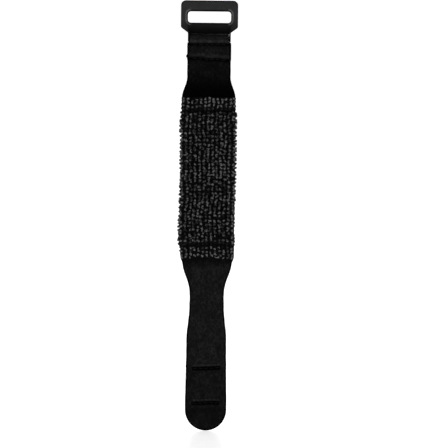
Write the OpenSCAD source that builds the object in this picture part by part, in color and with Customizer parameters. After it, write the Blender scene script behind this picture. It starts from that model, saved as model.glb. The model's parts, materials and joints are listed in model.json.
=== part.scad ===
// String damper wrap: a padded strap that closes round a guitar's neck through a moulded ring.
// +Z runs along the strap towards the ring, -Y is the pile side, and the origin is the centre of
// the pad's string-side face. The soft strip is divided into short links, so that it can bend.

/* [Strap] */
// Thickness of the loop-faced laminate
ply = 1.6; // [1.2:0.1:1.8]
// Width of the head, between the pad and the ring
head_w = 20.2; // [19.6:0.1:20.4]
// Width of the strap under the pad
mid_w = 25.0; // [24.8:0.1:25.6]
// Width where the tail leaves the pad
tail_top_w = 23.0; // [21.6:0.1:24.0]
// Width at the narrowest part of the tail
tail_neck_w = 16.0; // [14.8:0.1:17.0]
// Width at the widest part of the tip
tip_w = 19.2; // [18.6:0.1:19.6]
// Distance from the pad's centre to the end of the tip
tip_end = 117.6; // [116.6:0.1:119.0]

/* [Pad] */
// Width of the terry pad
pad_w = 26.5; // [26.3:0.1:28.0]
// Half of the pad's length
pad_half = 38.1; // [37.4:0.1:38.8]
// Thickness of the pad in front of the strap
pad_t = 5.0; // [4.6:0.1:5.2]
// Thickness of the terry cover
cover_t = 1.8; // [1.4:0.1:2.2]
// Radius of the pad's long edges
pad_edge_r = 2.2; // [1.6:0.1:2.6]
// Thickness of the flat hem at each end of the pad
hem_t = 3.6; // [3.2:0.1:4.0]
// Width of the lower hem, which is drawn in a little
lower_hem_w = 25.2; // [25.0:0.1:26.0]

/* [Ring] */
// Overall width of the ring
ring_w = 26.5; // [26.3:0.1:28.0]
// Width of the webbing slot
slot_w = 20.0; // [19.9:0.1:20.2]
// Thickness of the ring
ring_t = 3.0; // [2.8:0.1:3.2]
// Distance from the pad's centre to the lower bar
bar_z = 64.6; // [64.5:0.1:64.7]
// Diameter of the lower bar, which turns in the strap's fold
bar_d = 1.8; // [1.6:0.1:1.9]
// Top edge of the middle bar, below the webbing slot
slot_foot_z = 72.0; // [71.6:0.1:72.2]
// Bottom edge of the top bar
top_bar_z = 77.2; // [77.1:0.1:77.6]
// Top edge of the ring
ring_top_z = 82.3; // [81.8:0.1:82.6]
// Radius of the ring's top corners
ring_corner_r = 2.3; // [1.6:0.1:3.0]

/* [Sewing] */
// Thickness of the hook patch
hook_t = 0.9; // [0.7:0.1:0.9]
// Width of the hook patch
hook_w = 14.0; // [12.0:0.5:15.0]
// Diameter of the sewing thread
thread_d = 0.5; // [0.3:0.1:0.6]
// Distance from stitch to stitch
stitch_pitch = 2.6; // [2.4:0.1:3.2]

/* [Hidden] */
$fn = 48;
slack = 0.04;              // half of the gap between two links
bar_play = 0.08;           // radial running clearance of the lower bar in its fold
angle_play = 1;            // spare degrees at each side of a bend
wide = 60;                 // wider than the strap, for cutting solids
pad_reach = 8;             // deeper than the pad, for cutting solids
front_y = pad_t;           // pile side of the strap
mid_y = pad_t + ply / 2;   // middle of the laminate, where the links are hinged
back_y = pad_t + ply;      // back of the strap, and the middle of the ring's thickness
flap_y = back_y + ply;     // back of the folded-over end of the strap

// Heights of the hinges between links
pad_bend_z = 22;
hem_bend_z = 31.5;
neck_bend_z = 40.5;
head_bend_z = 49;
tail_1_z = -42;
tail_2_z = -52;
tail_3_z = -62;
tail_4_z = -71.5;
fold_1_z = -79;
fold_2_z = -82.5;
fold_3_z = -86;
tip_1_z = -96.5;
tip_2_z = -107;

// Largest bends, in degrees, towards the pile and away from it
pad_in = 47;
pad_out = 20;
soft_in = 25;
soft_out = 25;
fold_in = 20;
fold_out = 60;

// The flat flap, and the fold round the ring's lower bar, where the cloth is pressed thinner
flap_end_z = 54.4;
fold_drop = 2.2;
fold_foot_z = bar_z - fold_drop;
fold_w = 18.2;
fold_ply = 1.2;
fold_bore_r = bar_d / 2 + bar_play;
fold_r = fold_bore_r + fold_ply;

// Where the fold's straight sides meet its round: below the bar, and in from the round's edge
shoulder_drop = 1.1;
shoulder_in = 0.3;

// The ring's side rails, and its lower corners, which are cut at an angle
rail_straight_z = 69.8;
rail_foot_z = 67.4;
slot_corner_r = 1.4;

// The middle bar's lower edge clears the fold, and its front slopes back between the ears
fold_gap = 0.14;
middle_foot_z = bar_z + fold_r + fold_gap;
ramp_top_z = 70.2;
ramp_depth = 1.3;

// The ears that carry the lower bar, one at each side of the fold
ear_gap = 0.1;
ear_t = 0.75;
ear_x = fold_w / 2 + ear_gap;
rail_foot_x = ear_x + ear_t;

// Heights where the strap's outline changes, and its width at the fold
head_foot_z = 46.5;
mid_top_z = 37.5;
tail_top_z = -39;
tail_neck_top_z = -53;
tail_neck_foot_z = -59;
tail_fold_z = -75;
tail_fold_w = 18.5;
tip_top_z = -103;
outline_step = 1.5;        // spacing of the rows that draw the outline

// Gap between the foam and each long side of the cover
foam_gap = 0.2;
foam_w = pad_w - 2 * (cover_t + foam_gap);

// The tip is round from here down
tip_r = tip_w / 2;
tip_centre_z = -(tip_end - tip_r);

// The hook patch, in two halves either side of a bend
hook_top_z = -87.6;
hook_bottom_z = -105.4;
hook_gap = 0.9;

// Heights of the sewn rows, and the length of a stitch
fold_row_z = 61.7;
flap_row_z = 55.4;
pad_row_z = 33.2;
patch_row_top_z = -88.4;
patch_row_bottom_z = -104.6;
stitch_gap = 0.7;
stitch_len = stitch_pitch - stitch_gap;
row_margin = 1;            // cloth left free at the ends of a sewn row

loop_black = [0.07, 0.07, 0.075];
terry_black = [0.11, 0.11, 0.12];
ring_black = [0.14, 0.14, 0.14];
foam_grey = [0.25, 0.25, 0.26];
hook_grey = [0.18, 0.18, 0.19];
thread_grey = [0.3, 0.3, 0.31];

// ---- Outline of the strap, seen from the pile side ----

// The strap's full width at chosen heights, from the ring down
WIDTHS = [
  [ring_top_z, head_w],
  [head_foot_z, head_w],
  [mid_top_z, mid_w],
  [-mid_top_z, mid_w],
  [tail_top_z, tail_top_w],
  [tail_neck_top_z, tail_neck_w],
  [tail_neck_foot_z, tail_neck_w],
  [tail_fold_z, tail_fold_w],
  [tip_top_z, tip_w],
  [-tip_end, tip_w]
];

function ease(t) = t * t * (3 - 2 * t);
function span(z, i = 0) = (i >= len(WIDTHS) - 2 || z > WIDTHS[i + 1][0]) ? i : span(z, i + 1);
function share(z, i) = (WIDTHS[i][0] - z) / (WIDTHS[i][0] - WIDTHS[i + 1][0]);
function width_in(z, i) = WIDTHS[i][1] + (WIDTHS[i + 1][1] - WIDTHS[i][1]) * ease(share(z, i));
function half_width(z) = width_in(z, span(z)) / 2;
function levels(low, high, n) = [for (i = [0:n]) low + (high - low) * i / n];

module outline(low, high) {
  rows = levels(low, high, max(2, ceil((high - low) / outline_step)));
  right = [for (z = rows) [half_width(z), z]];
  left = [for (i = [len(rows) - 1:-1:0]) [-half_width(rows[i]), rows[i]]];
  polygon(concat(right, left));
}

// A shape drawn in X and Z, given a thickness along Y
module sheet(from_y, to_y) {
  translate([0, to_y, 0]) rotate([90, 0, 0]) linear_extrude(to_y - from_y) children();
}

// A shape drawn in Y and Z, given a width along X
module across(w) {
  translate([-w / 2, 0, 0]) rotate([90, 0, 90]) linear_extrude(w) children();
}

// The wedge-ended space that one link may fill: bends are [towards the pile, away from it],
// and reach is how far it goes to each side of the hinges
module link_space(low, high, low_bend, high_bend, reach) {
  lean = [for (b = [low_bend[0], low_bend[1], high_bend[0], high_bend[1]]) reach * tan(b / 2 + angle_play)];
  across(wide) polygon([
    [mid_y, low + slack],
    [mid_y + reach, low + slack + lean[1]],
    [mid_y + reach, high - slack - lean[3]],
    [mid_y, high - slack],
    [mid_y - reach, high - slack - lean[2]],
    [mid_y - reach, low + slack + lean[0]]
  ]);
}

module strap_link(low, high, low_bend, high_bend) {
  color(loop_black) intersection() {
    sheet(front_y, back_y) outline(low, high);
    link_space(low, high, low_bend, high_bend, ply);
  }
}

PAD_BEND = [pad_in, pad_out];
SOFT_BEND = [soft_in, soft_out];
FOLD_BEND = [fold_in, fold_out];

// ---- Ring ----

module ring_outline() {
  side = ring_w / 2;
  inner = side - ring_corner_r;
  difference() {
    union() {
      polygon([
        [-side, rail_straight_z], [-rail_foot_x, rail_foot_z], [-rail_foot_x, middle_foot_z],
        [rail_foot_x, middle_foot_z], [rail_foot_x, rail_foot_z], [side, rail_straight_z],
        [side, ring_top_z - ring_corner_r], [inner, ring_top_z], [-inner, ring_top_z],
        [-side, ring_top_z - ring_corner_r]
      ]);
      for (s = [-1, 1]) translate([s * inner, ring_top_z - ring_corner_r]) circle(ring_corner_r);
    }
    rounded_slot(slot_w, slot_foot_z, top_bar_z, slot_corner_r);
  }
}

module rounded_slot(w, low, high, r) {
  translate([-w / 2 + r, low]) square([w - 2 * r, high - low]);
  translate([-w / 2, low + r]) square([w, high - low - 2 * r]);
  for (x = [-w / 2 + r, w / 2 - r], z = [low + r, high - r]) translate([x, z]) circle(r);
}

// What is cut from the front of the middle bar, so that its face slopes back towards the fold
module ramp_cut() {
  front = back_y - ring_t / 2;
  across(2 * ear_x) polygon([
    [front, ramp_top_z],
    [front + ramp_depth, middle_foot_z],
    [front + ramp_depth, middle_foot_z - ring_t],
    [front - ring_t, middle_foot_z - ring_t],
    [front - ring_t, ramp_top_z]
  ]);
}

module ear(side) {
  translate([side * (ear_x + ear_t / 2), 0, 0]) across(ear_t) {
    translate([back_y, bar_z]) circle(d = ring_t);
    translate([back_y - ring_t / 2, bar_z]) square([ring_t, rail_foot_z - bar_z]);
  }
}

module ring() {
  color(ring_black) union() {
    difference() {
      sheet(back_y - ring_t / 2, back_y + ring_t / 2) ring_outline();
      ramp_cut();
    }
    ear(-1);
    ear(1);
    translate([0, back_y, bar_z]) across(2 * ear_x + ear_t) circle(d = bar_d);
  }
}

// ---- Head ----

module strap_head() {
  color(loop_black) intersection() {
    sheet(front_y, back_y) outline(head_bend_z, fold_foot_z);
    link_space(head_bend_z, bar_z, SOFT_BEND, [0, 0], ply);
  }
}

// The strap's turn round the ring's lower bar
module bar_fold() {
  shoulder_z = bar_z - shoulder_drop;
  shoulder = fold_r - shoulder_in;
  color(loop_black) across(fold_w) difference() {
    union() {
      translate([back_y, bar_z]) circle(fold_r);
      polygon([
        [front_y, fold_foot_z], [flap_y, fold_foot_z],
        [back_y + shoulder, shoulder_z], [back_y - shoulder, shoulder_z]
      ]);
    }
    translate([back_y, bar_z]) circle(fold_bore_r);
  }
}

module folded_flap() {
  color(loop_black) sheet(back_y, flap_y) outline(flap_end_z, fold_foot_z);
}

// ---- Strap links ----

module strap_neck_top() { strap_link(neck_bend_z, head_bend_z, SOFT_BEND, SOFT_BEND); }
module strap_hem_top() { strap_link(hem_bend_z, neck_bend_z, PAD_BEND, SOFT_BEND); }
module strap_pad_top() { strap_link(pad_bend_z, hem_bend_z, PAD_BEND, PAD_BEND); }
module strap_pad_centre() { strap_link(-pad_bend_z, pad_bend_z, PAD_BEND, PAD_BEND); }
module strap_pad_bottom() { strap_link(-hem_bend_z, -pad_bend_z, PAD_BEND, PAD_BEND); }
module strap_hem_bottom() { strap_link(tail_1_z, -hem_bend_z, SOFT_BEND, PAD_BEND); }
module tail_1() { strap_link(tail_2_z, tail_1_z, SOFT_BEND, SOFT_BEND); }
module tail_2() { strap_link(tail_3_z, tail_2_z, SOFT_BEND, SOFT_BEND); }
module tail_3() { strap_link(tail_4_z, tail_3_z, SOFT_BEND, SOFT_BEND); }
module tail_4() { strap_link(fold_1_z, tail_4_z, FOLD_BEND, SOFT_BEND); }
module tail_fold_1() { strap_link(fold_2_z, fold_1_z, FOLD_BEND, FOLD_BEND); }
module tail_fold_2() { strap_link(fold_3_z, fold_2_z, FOLD_BEND, FOLD_BEND); }
module tip_root() { strap_link(tip_1_z, fold_3_z, SOFT_BEND, FOLD_BEND); }
module tip_middle() { strap_link(tip_2_z, tip_1_z, SOFT_BEND, SOFT_BEND); }

module tip_end_link() {
  color(loop_black) intersection() {
    sheet(front_y, back_y) union() {
      outline(tip_centre_z, tip_2_z);
      translate([0, tip_centre_z]) circle(tip_r);
    }
    link_space(-tip_end - ply, tip_2_z, [0, 0], SOFT_BEND, ply);
  }
}

// ---- Pad ----

// Cross-section of the pad's cover in X and Y: a channel with round front edges
module cover_section(w, t) {
  r = min(pad_edge_r, t / 2);
  translate([0, front_y - t]) difference() {
    union() {
      translate([-w / 2, r]) square([w, t - r]);
      translate([-w / 2 + r, 0]) square([w - 2 * r, t]);
      for (s = [-1, 1]) translate([s * (w / 2 - r), r]) circle(r);
    }
    children();
  }
}

module terry_part(low, high) {
  color(terry_black) intersection() {
    translate([0, 0, low]) linear_extrude(high - low) cover_section(pad_w, pad_t)
      translate([-foam_w / 2, cover_t]) square([foam_w, pad_t]);
    link_space(low, high, PAD_BEND, PAD_BEND, pad_reach);
  }
}

module foam_part(low, high) {
  color(foam_grey) intersection() {
    translate([-foam_w / 2, cover_t, low]) cube([foam_w, pad_t - cover_t, high - low]);
    link_space(low, high, PAD_BEND, PAD_BEND, pad_reach);
  }
}

module terry_centre() { terry_part(-pad_bend_z, pad_bend_z); }
module terry_top() { terry_part(pad_bend_z, hem_bend_z); }
module terry_bottom() { terry_part(-hem_bend_z, -pad_bend_z); }
module foam_centre() { foam_part(-pad_bend_z, pad_bend_z); }
module foam_top() { foam_part(pad_bend_z, hem_bend_z); }
module foam_bottom() { foam_part(-hem_bend_z, -pad_bend_z); }

// The flat ends of the cover, where the terry is doubled and there is no foam
module hem_top() {
  color(terry_black) intersection() {
    translate([0, 0, hem_bend_z]) linear_extrude(pad_half - hem_bend_z) cover_section(pad_w, hem_t);
    link_space(hem_bend_z, neck_bend_z, PAD_BEND, [0, 0], pad_reach);
  }
}

module hem_bottom() {
  color(terry_black) intersection() {
    translate([0, 0, -pad_half]) linear_extrude(pad_half - hem_bend_z) cover_section(lower_hem_w, hem_t);
    link_space(tail_1_z, -hem_bend_z, [0, 0], PAD_BEND, pad_reach);
  }
}

// ---- Hook patch ----

module hook_part(low, high) {
  color(hook_grey) translate([-hook_w / 2, back_y, low]) cube([hook_w, hook_t, high - low]);
}

module hook_patch_upper() { hook_part(tip_1_z + hook_gap, hook_top_z); }
module hook_patch_lower() { hook_part(hook_bottom_z, tip_1_z - hook_gap); }

// ---- Sewing: each stitch is half of a round thread, lying on the face that it holds ----

module stitch_row(z, y, side, w) {
  n = floor(w / stitch_pitch);
  for (i = [0:n - 1])
    translate([(i - (n - 1) / 2) * stitch_pitch, y, z]) across(stitch_len) intersection() {
      circle(d = thread_d);
      translate([side > 0 ? 0 : -thread_d, -thread_d]) square([thread_d, 2 * thread_d]);
    }
}

module both_faces(z, w, rear_y) {
  color(thread_grey) union() {
    stitch_row(z, front_y, -1, w);
    stitch_row(z, rear_y, 1, w);
  }
}

module thread_fold_row() { both_faces(fold_row_z, head_w - row_margin, flap_y); }
module thread_flap_row() { both_faces(flap_row_z, head_w - row_margin, flap_y); }
module pad_row(z) { color(thread_grey) stitch_row(z, back_y, 1, mid_w - 2 * row_margin); }
module thread_pad_top() { pad_row(pad_row_z); }
module thread_pad_bottom() { pad_row(-pad_row_z); }

// On the patch itself these stitches lie down among the hooks, so only the front ones stand up
module patch_row(z) { color(thread_grey) stitch_row(z, front_y, -1, hook_w - row_margin); }
module thread_patch_top() { patch_row(patch_row_top_z); }
module thread_patch_bottom() { patch_row(patch_row_bottom_z); }

ring();
strap_head();
bar_fold();
folded_flap();
strap_neck_top();
strap_hem_top();
strap_pad_top();
strap_pad_centre();
strap_pad_bottom();
strap_hem_bottom();
tail_1();
tail_2();
tail_3();
tail_4();
tail_fold_1();
tail_fold_2();
tip_root();
tip_middle();
tip_end_link();
terry_centre();
terry_top();
terry_bottom();
hem_top();
hem_bottom();
foam_centre();
foam_top();
foam_bottom();
hook_patch_upper();
hook_patch_lower();
thread_fold_row();
thread_flap_row();
thread_pad_top();
thread_pad_bottom();
thread_patch_top();
thread_patch_bottom();
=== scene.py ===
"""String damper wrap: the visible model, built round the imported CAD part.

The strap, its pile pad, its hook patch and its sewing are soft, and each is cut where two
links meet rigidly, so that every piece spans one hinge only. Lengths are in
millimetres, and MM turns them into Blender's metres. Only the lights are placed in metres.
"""

import json
import math

import bmesh
import bpy
import numpy as np
from mathutils import Matrix, Vector

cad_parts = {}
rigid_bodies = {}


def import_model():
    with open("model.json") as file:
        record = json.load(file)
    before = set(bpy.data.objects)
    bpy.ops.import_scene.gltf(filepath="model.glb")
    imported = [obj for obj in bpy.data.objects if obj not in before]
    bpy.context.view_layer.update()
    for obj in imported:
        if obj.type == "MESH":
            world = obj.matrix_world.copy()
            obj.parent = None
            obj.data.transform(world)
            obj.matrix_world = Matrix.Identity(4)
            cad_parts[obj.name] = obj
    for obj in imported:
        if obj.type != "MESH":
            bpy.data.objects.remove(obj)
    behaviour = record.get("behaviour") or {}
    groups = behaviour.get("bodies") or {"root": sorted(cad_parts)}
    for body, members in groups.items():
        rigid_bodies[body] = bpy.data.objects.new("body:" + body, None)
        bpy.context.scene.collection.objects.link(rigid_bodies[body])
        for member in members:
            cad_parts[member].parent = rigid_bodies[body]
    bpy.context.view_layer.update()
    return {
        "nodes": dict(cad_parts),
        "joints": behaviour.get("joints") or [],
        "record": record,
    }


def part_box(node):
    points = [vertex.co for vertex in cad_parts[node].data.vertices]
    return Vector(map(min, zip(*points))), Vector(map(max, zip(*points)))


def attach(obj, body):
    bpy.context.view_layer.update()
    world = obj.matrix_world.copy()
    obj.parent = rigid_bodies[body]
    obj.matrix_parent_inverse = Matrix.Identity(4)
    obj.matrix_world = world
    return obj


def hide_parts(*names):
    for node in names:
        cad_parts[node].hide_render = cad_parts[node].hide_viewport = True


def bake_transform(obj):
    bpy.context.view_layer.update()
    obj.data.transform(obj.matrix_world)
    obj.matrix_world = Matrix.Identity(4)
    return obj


MM = 0.001
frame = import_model()
UP = np.array([0.0, 0.0, 1.0])


# ---- readings from the frame


def box_mm(node):
    """Lowest and highest corner of a CAD node, in mm."""
    low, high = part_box(node)
    return np.array(low) / MM, np.array(high) / MM


def joint(name):
    return next(j for j in frame["joints"] if j["name"] == name)


def read_vertices(mesh, what="co"):
    values = np.zeros(len(mesh.vertices) * 3)
    mesh.vertices.foreach_get(what, values)
    return values.reshape(-1, 3)


NEUTRAL_Y = joint("head_bend")["pos_m"][1] / MM       # middle of the laminate
PLY = 2 * (box_mm("strap_pad_centre")[1][1] - NEUTRAL_Y)
FRONT_Y = NEUTRAL_Y - PLY / 2
BACK_Y = NEUTRAL_Y + PLY / 2
BAR_Y, BAR_Z = (v / MM for v in joint("ring_turn")["pos_m"][1:])
FLAP_END_Z = box_mm("folded_flap")[0][2]
FOLD_HALF_W = box_mm("bar_fold")[1][0]
FOLD_TOP_Z = box_mm("bar_fold")[1][2]
HEAD_HALF_W = box_mm("folded_flap")[1][0]
TIP_Z = box_mm("tip_end_link")[0][2]
TIP_R = box_mm("tip_end_link")[1][0]
TIP_CENTRE_Z = TIP_Z + TIP_R
PAD_TOP_Z = box_mm("hem_top")[1][2]
PAD_HALF_W = box_mm("terry_centre")[1][0]
HOOK_LOW, HOOK_HIGH = box_mm("hook_patch_lower")[0], box_mm("hook_patch_upper")[1]
HOOK_GAP_Z = (box_mm("hook_patch_lower")[1][2], box_mm("hook_patch_upper")[0][2])


def read_hinges():
    """Each bend of the strap from the top down: its height, the bodies above and below it,
    the cuts between it and its neighbours, and the half height over which cloth bends."""
    found = []
    for j in frame["joints"]:
        if j["name"] == "ring_turn":
            continue
        z = j["pos_m"][2] / MM
        pair = (j["child"], j["parent"]) if z > 0 else (j["parent"], j["child"])
        found.append({"name": j["name"], "z": z, "above": pair[0], "below": pair[1]})
    found.sort(key=lambda h: -h["z"])
    for upper, lower in zip(found, found[1:]):
        upper["low"] = lower["high"] = (upper["z"] + lower["z"]) / 2
    found[-1]["low"] = TIP_Z
    for h in found:
        h["reach"] = min(abs(h[end] - h["z"]) for end in ("high", "low") if end in h)
    return {h["name"]: h for h in found}


HINGES = read_hinges()


# ---- small maths


def smoothstep(t):
    t = np.clip(t, 0, 1)
    return t * t * (3 - 2 * t)


def hump(t):
    """A soft hump: 1 where t is 0, and 0 where t is 1 or more either way."""
    return smoothstep(1 - np.abs(t))


def lattice(i, j, seed):
    """A steady random number from 0 to 1 for each whole-numbered cell."""
    h = (i * 374761393 + j * 668265263 + seed * 982451653) & 0x7FFFFFFF
    h = ((h ^ (h >> 13)) * 1274126177) & 0x7FFFFFFF
    return ((h ^ (h >> 16)) & 0xFFFF) / 65535.0


def noise(x, y, size, seed):
    """Smooth noise from -1 to 1, with features of the given size."""
    x, y = np.broadcast_arrays(np.asarray(x, float) / size, np.asarray(y, float) / size)
    i, j = np.floor(x).astype(np.int64), np.floor(y).astype(np.int64)
    u, v = smoothstep(x - i), smoothstep(y - j)
    low = lattice(i, j, seed) * (1 - u) + lattice(i + 1, j, seed) * u
    high = lattice(i, j + 1, seed) * (1 - u) + lattice(i + 1, j + 1, seed) * u
    return 2 * (low * (1 - v) + high * v) - 1


def unit(v):
    return v / np.maximum(np.linalg.norm(v, axis=-1, keepdims=True), 1e-12)


# ---- meshes


def side_faces(rows, ring):
    """Quads round a tube of rows x ring points."""
    i, k = np.meshgrid(np.arange(rows - 1), np.arange(ring), indexing="ij")
    a, b = i * ring + k, i * ring + (k + 1) % ring
    return np.stack([a, b, b + ring, a + ring], -1).reshape(-1, 4)


def grid_faces(rows, ring):
    """The quads of side_faces, and the strips that close the tube's two ends."""
    k = np.arange(ring // 2 - 1)
    cap = np.stack([k, ring - 1 - k, ring - 2 - k, k + 1], -1)
    return np.vstack([side_faces(rows, ring), cap, cap[:, ::-1] + (rows - 1) * ring])


def round_trip(there, back):
    """Rows that run across on one face and return on the other."""
    return np.concatenate([there, back[:, ::-1]], axis=1)


def add_object(name, data):
    obj = bpy.data.objects.new(name, data)
    bpy.context.scene.collection.objects.link(obj)
    return obj


def add_values(mesh, layers):
    """Gives each point of a mesh its values: one number each, or three for "rest"."""
    for key, values in layers.items():
        kind, field = ("FLOAT_VECTOR", "vector") if key == "rest" else ("FLOAT", "value")
        layer = mesh.attributes.new(key, kind, "POINT")
        layer.data.foreach_set(field, np.asarray(values, np.float32).reshape(-1))


def make_mesh(name, points, faces, attributes=None, sharp_ends=None):
    """A smooth-shaded mesh object from points in mm and arrays of faces. sharp_ends is the
    rows and ring of a tube whose two ends are flat."""
    mesh = bpy.data.meshes.new(name)
    counts = np.concatenate([np.full(len(f), f.shape[1]) for f in faces])
    corners = np.concatenate([f.reshape(-1) for f in faces]).astype(np.int32)
    mesh.vertices.add(len(points))
    mesh.vertices.foreach_set("co", (points * MM).astype(np.float32).reshape(-1))
    mesh.loops.add(len(corners))
    mesh.loops.foreach_set("vertex_index", corners)
    mesh.polygons.add(len(counts))
    starts = np.concatenate([[0], np.cumsum(counts)[:-1]]).astype(np.int32)
    mesh.polygons.foreach_set("loop_start", starts)
    mesh.polygons.foreach_set("use_smooth", np.ones(len(counts), bool))
    mesh.update(calc_edges=True)
    mesh.validate()
    add_values(mesh, {"rest": points, **(attributes or {})})
    if sharp_ends:
        rows, ring = sharp_ends
        pairs = np.zeros(len(mesh.edges) * 2, np.int32)
        mesh.edges.foreach_get("vertices", pairs)
        row = pairs.reshape(-1, 2) // ring
        at_end = ((row == 0) | (row == rows - 1)).all(1) & (row[:, 0] == row[:, 1])
        sharp = mesh.attributes.new("sharp_edge", "BOOLEAN", "EDGE")
        sharp.data.foreach_set("value", at_end)
    return add_object(name, mesh)


def loft(name, rings, attributes=None):
    """A closed tube through rings, an array of rows x ring x 3 in mm."""
    rows, ring = rings.shape[:2]
    faces = grid_faces(rows, ring)
    points = rings.reshape(-1, 3)
    a, b, c, d = (points[faces[:, k]] for k in range(4))
    volume = (a * np.cross(b, c)).sum() + (a * np.cross(c, d)).sum()
    if volume < 0:
        faces = faces[:, ::-1]
    return make_mesh(name, points, [faces], attributes, (rows, ring))


def join_parts(parts):
    """One set of points, faces and values from many parts of (points, faces, values)."""
    points, faces, values, start = [], [], {}, 0
    for part_points, part_faces, part_values in parts:
        faces += [f + start for f in part_faces]
        start += len(part_points)
        points.append(part_points)
        for key, value in part_values.items():
            values.setdefault(key, []).append(value)
    return np.vstack(points), faces, {k: np.concatenate(v) for k, v in values.items()}


def tubes(centres, side, radius, corners):
    """Points and faces of many tubes. centres is tubes x points x 3, side is one vector or
    each tube's own, square to its plane, and radius fits an array of tubes x points."""
    count, length = centres.shape[:2]
    along = unit(np.gradient(centres, axis=1))
    first = unit(np.cross(np.broadcast_to(side, (count, 3))[:, None], along))
    second = np.cross(along, first)
    turn = np.arange(corners) * 2 * math.pi / corners
    radius = np.broadcast_to(radius, (count, length))[..., None, None]
    wall = centres[:, :, None] + radius * (
        np.cos(turn)[:, None] * first[:, :, None] + np.sin(turn)[:, None] * second[:, :, None]
    )
    one = np.arange(corners)
    ends = np.stack([one[::-1], one + (length - 1) * corners])
    offset = (np.arange(count) * length * corners)[:, None, None]
    quads = (side_faces(length, corners) + offset).reshape(-1, 4)
    return wall.reshape(-1, 3), [quads, (ends + offset).reshape(-1, corners)]


def bend_with(obj):
    """Bakes obj's placement into its mesh."""
    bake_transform(obj)


def dress(obj, material):
    obj.data.materials.clear()
    obj.data.materials.append(material)


def fit_piece(obj, material, nodes):
    """Gives a piece its material, bakes its placement into its mesh, and hides its CAD nodes."""
    dress(obj, material)
    bend_with(obj)
    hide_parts(*nodes)
    return obj


# ---- materials


class Nodes:
    """Builds one procedural material on a Principled shader."""

    def __init__(self, name):
        self.material = bpy.data.materials.new(name)
        self.material.use_nodes = True
        self.tree = self.material.node_tree
        self.shader = self.tree.nodes["Principled BSDF"]
        self.rest = self.attribute("rest", "Vector")

    def link(self, source, target):
        self.tree.links.new(source, target)

    def feed(self, sockets, values):
        """Sets each socket to a number or colour, or links it to another node."""
        for socket, value in zip(sockets, values):
            if isinstance(value, (int, float)):
                socket.default_value = value
            elif isinstance(value, tuple):
                socket.default_value = (*value, 1)
            else:
                self.link(value, socket)

    def attribute(self, name, output="Fac"):
        node = self.tree.nodes.new("ShaderNodeAttribute")
        node.attribute_name = name
        return node.outputs[output]

    def noise(self, scale, detail=3.0, rough=0.5, distortion=0.0, where=None):
        node = self.tree.nodes.new("ShaderNodeTexNoise")
        self.link(where or self.rest, node.inputs["Vector"])
        names = ("Scale", "Detail", "Roughness", "Distortion")
        self.feed([node.inputs[name] for name in names], (scale, detail, rough, distortion))
        return node.outputs["Fac"]

    def pores(self, scale):
        node = self.tree.nodes.new("ShaderNodeTexVoronoi")
        self.feed([node.inputs["Vector"], node.inputs["Scale"]], (self.rest, scale))
        return node.outputs["Distance"]

    def stretched(self, factors):
        """The piece's own coordinates, stretched."""
        node = self.tree.nodes.new("ShaderNodeVectorMath")
        node.operation = "MULTIPLY"
        node.inputs[1].default_value = factors
        self.link(self.rest, node.inputs[0])
        return node.outputs[0]

    def maths(self, operation, a, b):
        node = self.tree.nodes.new("ShaderNodeMath")
        node.operation = operation
        self.feed(node.inputs, (a, b))
        return node.outputs[0]

    def plus(self, a, b, share):
        """a and a share of b."""
        return self.maths("ADD", a, self.maths("MULTIPLY", b, share))

    def vary(self, a, texture, amount):
        """a, made uneven by a texture about its middle value."""
        return self.plus(a, self.maths("SUBTRACT", texture, 0.5), amount)

    def ramp(self, value, stops):
        """A colour for each value: stops is a list of (place, grey or colour)."""
        node = self.tree.nodes.new("ShaderNodeValToRGB")
        elements = node.color_ramp.elements
        while len(elements) < len(stops):
            elements.new(0.5)
        for element, (place, colour) in zip(elements, stops):
            element.position = place
            rgb = (colour,) * 3 if isinstance(colour, (int, float)) else colour
            element.color = (*rgb, 1)
        self.link(value, node.inputs["Fac"])
        return node.outputs["Color"]

    def mix(self, factor, a, b, kind="MIX"):
        node = self.tree.nodes.new("ShaderNodeMix")
        node.data_type = "RGBA"
        node.blend_type = kind
        self.feed([node.inputs[k] for k in (0, 6, 7)], (factor, a, b))
        return node.outputs[2]

    def bump(self, height, depth_mm, strength=1.0):
        node = self.tree.nodes.new("ShaderNodeBump")
        node.inputs["Distance"].default_value = depth_mm * MM
        node.inputs["Strength"].default_value = strength
        self.link(height, node.inputs["Height"])
        self.link(node.outputs["Normal"], self.shader.inputs["Normal"])

    def finish(self, colour, roughness=None, **constants):
        self.link(colour, self.shader.inputs["Base Color"])
        if roughness is not None:
            self.link(roughness, self.shader.inputs["Roughness"])
        for name, value in constants.items():
            self.shader.inputs[name.replace("_", " ")].default_value = value
        return self.material


def brushed_loop_fabric():
    """Black loop fabric: a short brushed nap, patchy in tone, and darker round its rolled rim,
    where shade is painted on.
    """
    n = Nodes("brushed_loop_fabric")
    nap = n.noise(3.2, 5, 0.65, 0.6)
    tufts = n.noise(1.1, 4, 0.6, 0.3, n.stretched((1.0, 1.0, 0.7)))
    patches = n.noise(0.16, 3, 0.55)
    height = n.plus(n.maths("MULTIPLY", nap, 0.7), tufts, 0.55)
    tone = n.plus(height, patches, 0.2)
    colour = n.ramp(tone, [(0.5, 0.001), (0.74, 0.0062), (0.92, (0.0185, 0.0185, 0.0193))])
    # painted shade round the rolled rim
    rim = n.ramp(n.attribute("edge"), [(0.35, 0.12), (1.0, 1.0)])
    # the cloth's painted shade and highlight, multiplied into its colour
    colour = n.mix(1.0, colour, n.attribute("shade"), "MULTIPLY")
    n.bump(height, 0.2, 1.0)
    rough = n.ramp(nap, [(0.3, 0.98), (0.7, 0.86)])
    return n.finish(
        n.mix(1.0, colour, rim, "MULTIPLY"), rough, Specular_IOR_Level=0.012,
        Sheen_Weight=0.003, Sheen_Roughness=0.5, Sheen_Tint=(0.5, 0.5, 0.52, 1),
    )


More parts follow.
